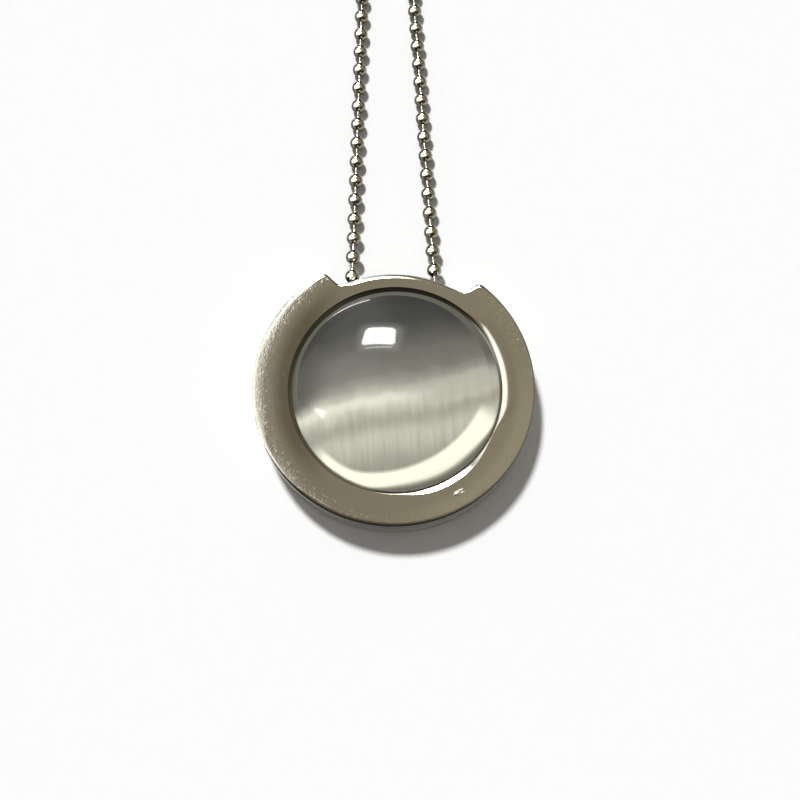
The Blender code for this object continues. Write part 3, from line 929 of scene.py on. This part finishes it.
def link_template(sides):
    """The dumbbell link from inside one bead to inside the next, along +Z from the bead's centre."""
    start, end = 0.8 * BEAD_RADIUS, BEAD_PITCH - 0.8 * BEAD_RADIUS
    flare = 1.3 * LINK_RADIUS
    rows = (
        (flare, start),
        (LINK_RADIUS, start + 0.14 * MM),
        (LINK_RADIUS * 0.9, 0.5 * (start + end)),
        (LINK_RADIUS, end - 0.14 * MM),
        (flare, end),
    )
    return turned_rows(rows, sides)


def turned_rows(rows, sides):
    vertices, faces = ringed([circle(*row, sides) for row in rows])
    return np.array(vertices), faces


def make_chain(name, node, path, beads, sides, latitudes, steel):
    """Beads and links of a stretch of the chain, as one joined mesh."""
    bead = bead_template(sides, latitudes)
    link = link_template(max(8, sides // 3))
    vertices, faces = [], []
    count = 0
    for k, index in enumerate(beads):
        distance = BEAD_PHASE + index * BEAD_PITCH
        centre = path.at(distance)
        ahead = path.at(distance + 0.5 * BEAD_RADIUS)
        behind = path.at(distance - 0.5 * BEAD_RADIUS)
        lie = np.array((ahead - behind).to_track_quat("Z", "Y").to_matrix())
        shapes = [(*bead, lie)]
        if k + 1 < len(beads):
            after = path.at(distance + BEAD_PITCH)
            link_lie = np.array((after - centre).to_track_quat("Z", "Y").to_matrix())
            shapes.append((*link, link_lie))
        for shape, shape_faces, turn in shapes:
            vertices.append(shape @ turn.T + np.array(centre))
            faces += [tuple(v + count for v in face) for face in shape_faces]
            count += len(shape)
    piece = mesh_object(name, np.concatenate(vertices), faces, [steel], sharp=50.0)
    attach(piece, "root")
    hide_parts(node)
    return piece


def make_clasp(path, steel):
    """A plain sleeve with rounded ends, open at both."""
    half = 0.5 * CLASP_LENGTH
    reach = 0.5 * (CLASP_OUTER_RADIUS - CLASP_BORE_RADIUS)
    middle = 0.5 * (CLASP_OUTER_RADIUS + CLASP_BORE_RADIUS)
    section = [(CLASP_BORE_RADIUS, -half + CLASP_EDGE)]
    for side in (-1, 1):
        for i in range(7):
            turn = math.pi * i / 6
            out = half - CLASP_EDGE + CLASP_EDGE * math.sin(turn)
            section.append((middle - side * reach * math.cos(turn), side * out))
    section.append((CLASP_BORE_RADIUS, half - CLASP_EDGE))
    vertices, faces = ringed([circle(*row, CLASP_SIDES) for row in section], closed_start=False, closed_end=False)
    last = (len(section) - 1) * CLASP_SIDES
    for i in range(CLASP_SIDES):
        j = (i + 1) % CLASP_SIDES
        faces.append((last + i, last + j, j, i))
    before = path.at(path.clasp - half)
    after = path.at(path.clasp + half)
    lie = (after - before).to_track_quat("Z", "Y").to_matrix().to_4x4()
    place = Matrix.Translation(0.5 * (before + after)) @ lie
    vertices = [place @ Vector(v) for v in vertices]
    piece = mesh_object("clasp_sleeve", vertices, faces, [steel])
    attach(piece, "root")
    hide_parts("clasp")


# ---- table, light and camera ----


def make_table():
    size = 2.0
    corners = [(-size, -size, 0.0), (size, -size, 0.0), (size, size, 0.0), (-size, size, 0.0)]
    material, tree, shader = new_material("white_table")
    grain = noise(tree, place_in_mm(tree), 1.6, 3.0, 0.6)
    tint = blended(tree, grain, (0.85, 0.856, 0.868), (0.862, 0.868, 0.884))
    tree.links.new(tint, shader.inputs["Base Color"])
    shader.inputs["Roughness"].default_value = 0.9
    shader.inputs["Specular IOR Level"].default_value = 0.1
    table = mesh_object("table", corners, [(0, 1, 2, 3)], [material])
    table.location.z = -0.01 * MM


def direction(tilt, azimuth):
    """Unit vector from its tilt off +Z and its azimuth from +X."""
    tilt, azimuth = math.radians(tilt), math.radians(azimuth)
    return Vector((math.sin(tilt) * math.cos(azimuth), math.sin(tilt) * math.sin(azimuth), math.cos(tilt)))


def card_group():
    """Mask of a soft-edged card seen in one direction from the pendant."""
    group, entry, result = new_group(
        "studio_card",
        (
            ("Ray", "Vector", (0.0, 0.0, 1.0)),
            ("Centre", "Vector", (0.0, 0.0, 1.0)),
            ("Across", "Vector", (1.0, 0.0, 0.0)),
            ("Up", "Vector", (0.0, 1.0, 0.0)),
            ("Half Width", "Float", 0.2),
            ("Half Height", "Float", 0.1),
            ("Softness", "Float", 0.02),
            ("Taper", "Float", 0.0),
            ("Rounding", "Float", 0.02),
        ),
        (("Mask", "Float"),),
    )
    out = entry.outputs
    ahead = vector_calc(group, "DOT_PRODUCT", out["Ray"], out["Centre"])
    safe = calc(group, "MAXIMUM", ahead, 0.001)
    u = calc(group, "DIVIDE", vector_calc(group, "DOT_PRODUCT", out["Ray"], out["Across"]), safe)
    v = calc(group, "DIVIDE", vector_calc(group, "DOT_PRODUCT", out["Ray"], out["Up"]), safe)
    width = calc(group, "ADD", out["Half Width"], product(group, v, out["Taper"]))
    width = calc(group, "SUBTRACT", width, out["Rounding"])
    height = calc(group, "SUBTRACT", out["Half Height"], out["Rounding"])
    over = calc(group, "MAXIMUM", calc(group, "SUBTRACT", calc(group, "ABSOLUTE", u), width), 0.0)
    above = calc(group, "MAXIMUM", calc(group, "SUBTRACT", calc(group, "ABSOLUTE", v), height), 0.0)
    past = vector_calc(group, "LENGTH", joined(group, over, above))
    outside = calc(group, "SUBTRACT", past, out["Rounding"])
    mask = ease(group, outside, out["Softness"], product(group, out["Softness"], -1.0))
    front = calc(group, "GREATER_THAN", ahead, 0.0)
    group.links.new(product(group, mask, front), result.inputs["Mask"])
    return group


def card(tree, group, ray, tilt, azimuth, turn, half_width, half_height, softness, taper, rounding):
    centre = direction(tilt, azimuth)
    level = Vector((0.0, 0.0, 1.0)).cross(centre).normalized()
    rise = centre.cross(level)
    turn = math.radians(turn)
    across = level * math.cos(turn) + rise * math.sin(turn)
    return placed_group(
        tree,
        group,
        Ray=ray,
        Centre=tuple(centre),
        Across=tuple(across),
        Up=tuple(centre.cross(across)),
        Half_Width=half_width,
        Half_Height=half_height,
        Softness=softness,
        Taper=taper,
        Rounding=rounding,
    ).outputs["Mask"]


CARDS = (
    # tilt, azimuth, turn, half width, half height, softness, taper, rounding, colour
    (51.0, 107.0, -19.0, 0.2, 0.16, 0.1, 0.0, 0.05, (13.0, 13.0, 12.2)),
    (52.0, 106.9, -19.0, 0.165, 0.118, 0.018, 0.147, 0.04, (110.0, 110.0, 105.0)),
    (42.9, 110.9, -19.0, 0.15, 0.005, 0.004, 0.0, 0.004, (50.0, 50.0, 47.0)),
    (56.3, -174.0, -35.0, 0.025, 0.08, 0.025, 0.2, 0.01, (34.0, 34.0, 31.5)),
    (89.0, 117.5, 0.0, 0.2, 0.008, 0.007, 0.0, 0.007, (34.0, 34.0, 32.0)),
)


def make_world():
    """Studio seen by the steel and the stone, an even fill for the rest, and a pale backdrop."""
    world = bpy.data.worlds.new("studio")
    world.use_nodes = True
    tree = world.node_tree
    background = tree.nodes["Background"]
    ray = vector_calc(tree, "NORMALIZE", tree.nodes.new("ShaderNodeTexCoord").outputs["Generated"])
    group = card_group()
    x, y, z = split(tree, ray)
    seen = blended(tree, ease(tree, x, -0.2, 0.14), (0.31, 0.273, 0.197), (0.37, 0.33, 0.24))

    # A bright wall on the left, a bright patch above it, and dark below and round the horizon
    left = product(tree, ease(tree, y, 0.65, 0.5, 0.2, 1.0), ease(tree, y, -0.12, 0.04))
    left = product(tree, ease(tree, x, -0.1, -0.36), left)
    seen = blended(tree, left, seen, (1.7, 1.7, 1.6))
    top = product(tree, ease(tree, y, 0.61, 0.66), ease(tree, x, 0.02, -0.32), ease(tree, x, -0.75, -0.42))
    seen = blended(tree, top, seen, (1.75, 1.75, 1.68))
    seen = blended(tree, ease(tree, y, -0.05, -0.45), seen, (0.05, 0.047, 0.038))
    low = product(tree, ease(tree, z, 0.25, 0.15), ease(tree, x, -0.95, -0.85))
    low = product(tree, low, calc(tree, "SUBTRACT", 1.0, product(tree, top, 0.8)))
    seen = blended(tree, low, seen, (0.04, 0.037, 0.03))
    for row in CARDS:
        seen = blended(tree, card(tree, group, ray, *row[:-1]), seen, row[-1])
    paths = tree.nodes.new("ShaderNodeLightPath")
    lit = blended(tree, paths.outputs["Is Glossy Ray"], FILL, seen)
    shown = blended(tree, paths.outputs["Is Camera Ray"], lit, (0.9, 0.9, 0.9))
    tree.links.new(shown, background.inputs["Color"])
    bpy.context.scene.world = world


def make_chain_lamp(pieces, name, tilt, azimuth, turn, width, height, radiance):
    """An oval lamp that lights the chain alone, given by its half angles as seen from the chain."""
    aim = direction(tilt, azimuth)
    spin = Quaternion((0.0, 0.0, 1.0), math.radians(turn))
    lamp = bpy.data.lights.new(name, "AREA")
    lamp.shape = "ELLIPSE"
    lamp.size = 2 * CHAIN_LAMP_DISTANCE * math.tan(math.radians(width))
    lamp.size_y = 2 * CHAIN_LAMP_DISTANCE * math.tan(math.radians(height))
    lamp.energy = radiance * math.pi * math.pi * 0.25 * lamp.size * lamp.size_y
    obj = bpy.data.objects.new(name, lamp)
    bpy.context.scene.collection.objects.link(obj)
    obj.location = Vector((0.0, 25.0 * MM, 0.0)) + aim * CHAIN_LAMP_DISTANCE
    obj.rotation_euler = (aim.to_track_quat("Z", "Y") @ spin).to_euler()
    obj.visible_camera = False
    obj.visible_diffuse = False
    receivers = bpy.data.collections.new(name + "_receivers")
    for piece in pieces:
        receivers.objects.link(piece)
    obj.light_linking.receiver_collection = receivers


def make_key():
    lamp = bpy.data.lights.new("key", "SUN")
    lamp.energy = KEY_STRENGTH
    lamp.angle = KEY_SPREAD
    obj = bpy.data.objects.new("key", lamp)
    bpy.context.scene.collection.objects.link(obj)
    aim = direction(KEY_TILT, KEY_AZIMUTH)
    obj.rotation_euler = aim.to_track_quat("Z", "Y").to_euler()
    obj.visible_glossy = False


def make_camera():
    data = bpy.data.cameras.new("camera")
    data.lens = CAMERA_LENS
    data.clip_start = 1.0 * MM
    data.clip_end = 20.0
    obj = bpy.data.objects.new("camera", data)
    bpy.context.scene.collection.objects.link(obj)
    obj.location = CAMERA_PLACE
    obj.rotation_euler = (CAMERA_TILT, 0.0, CAMERA_TURN)
    bpy.context.scene.camera = obj


def build():
    marks = handling_marks_group()
    steel = polished_steel_material(marks, edge_wear_group())
    chain_steel = chain_steel_material(marks)
    glass = cats_eye_material()
    path = ChainPath()
    make_frame(steel)
    make_stone(glass)
    front = range(-FRONT_BEADS_RIGHT, FRONT_BEADS_LEFT)
    back = range(FRONT_BEADS_LEFT, BEAD_COUNT - FRONT_BEADS_RIGHT)
    near = make_chain("front_ball_chain", "ball_chain_front", path, front, 32, 18, chain_steel)
    far = make_chain("back_ball_chain", "ball_chain_back", path, back, 20, 10, chain_steel)
    make_clasp(path, chain_steel)
    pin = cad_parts["bail_pin"]
    pin.data.materials.clear()
    pin.data.materials.append(steel)
    make_table()
    make_world()
    make_key()
    for row in CHAIN_LAMPS:
        make_chain_lamp((near, far), *row)
    make_camera()
    bpy.context.scene.view_settings.view_transform = "Standard"


build()
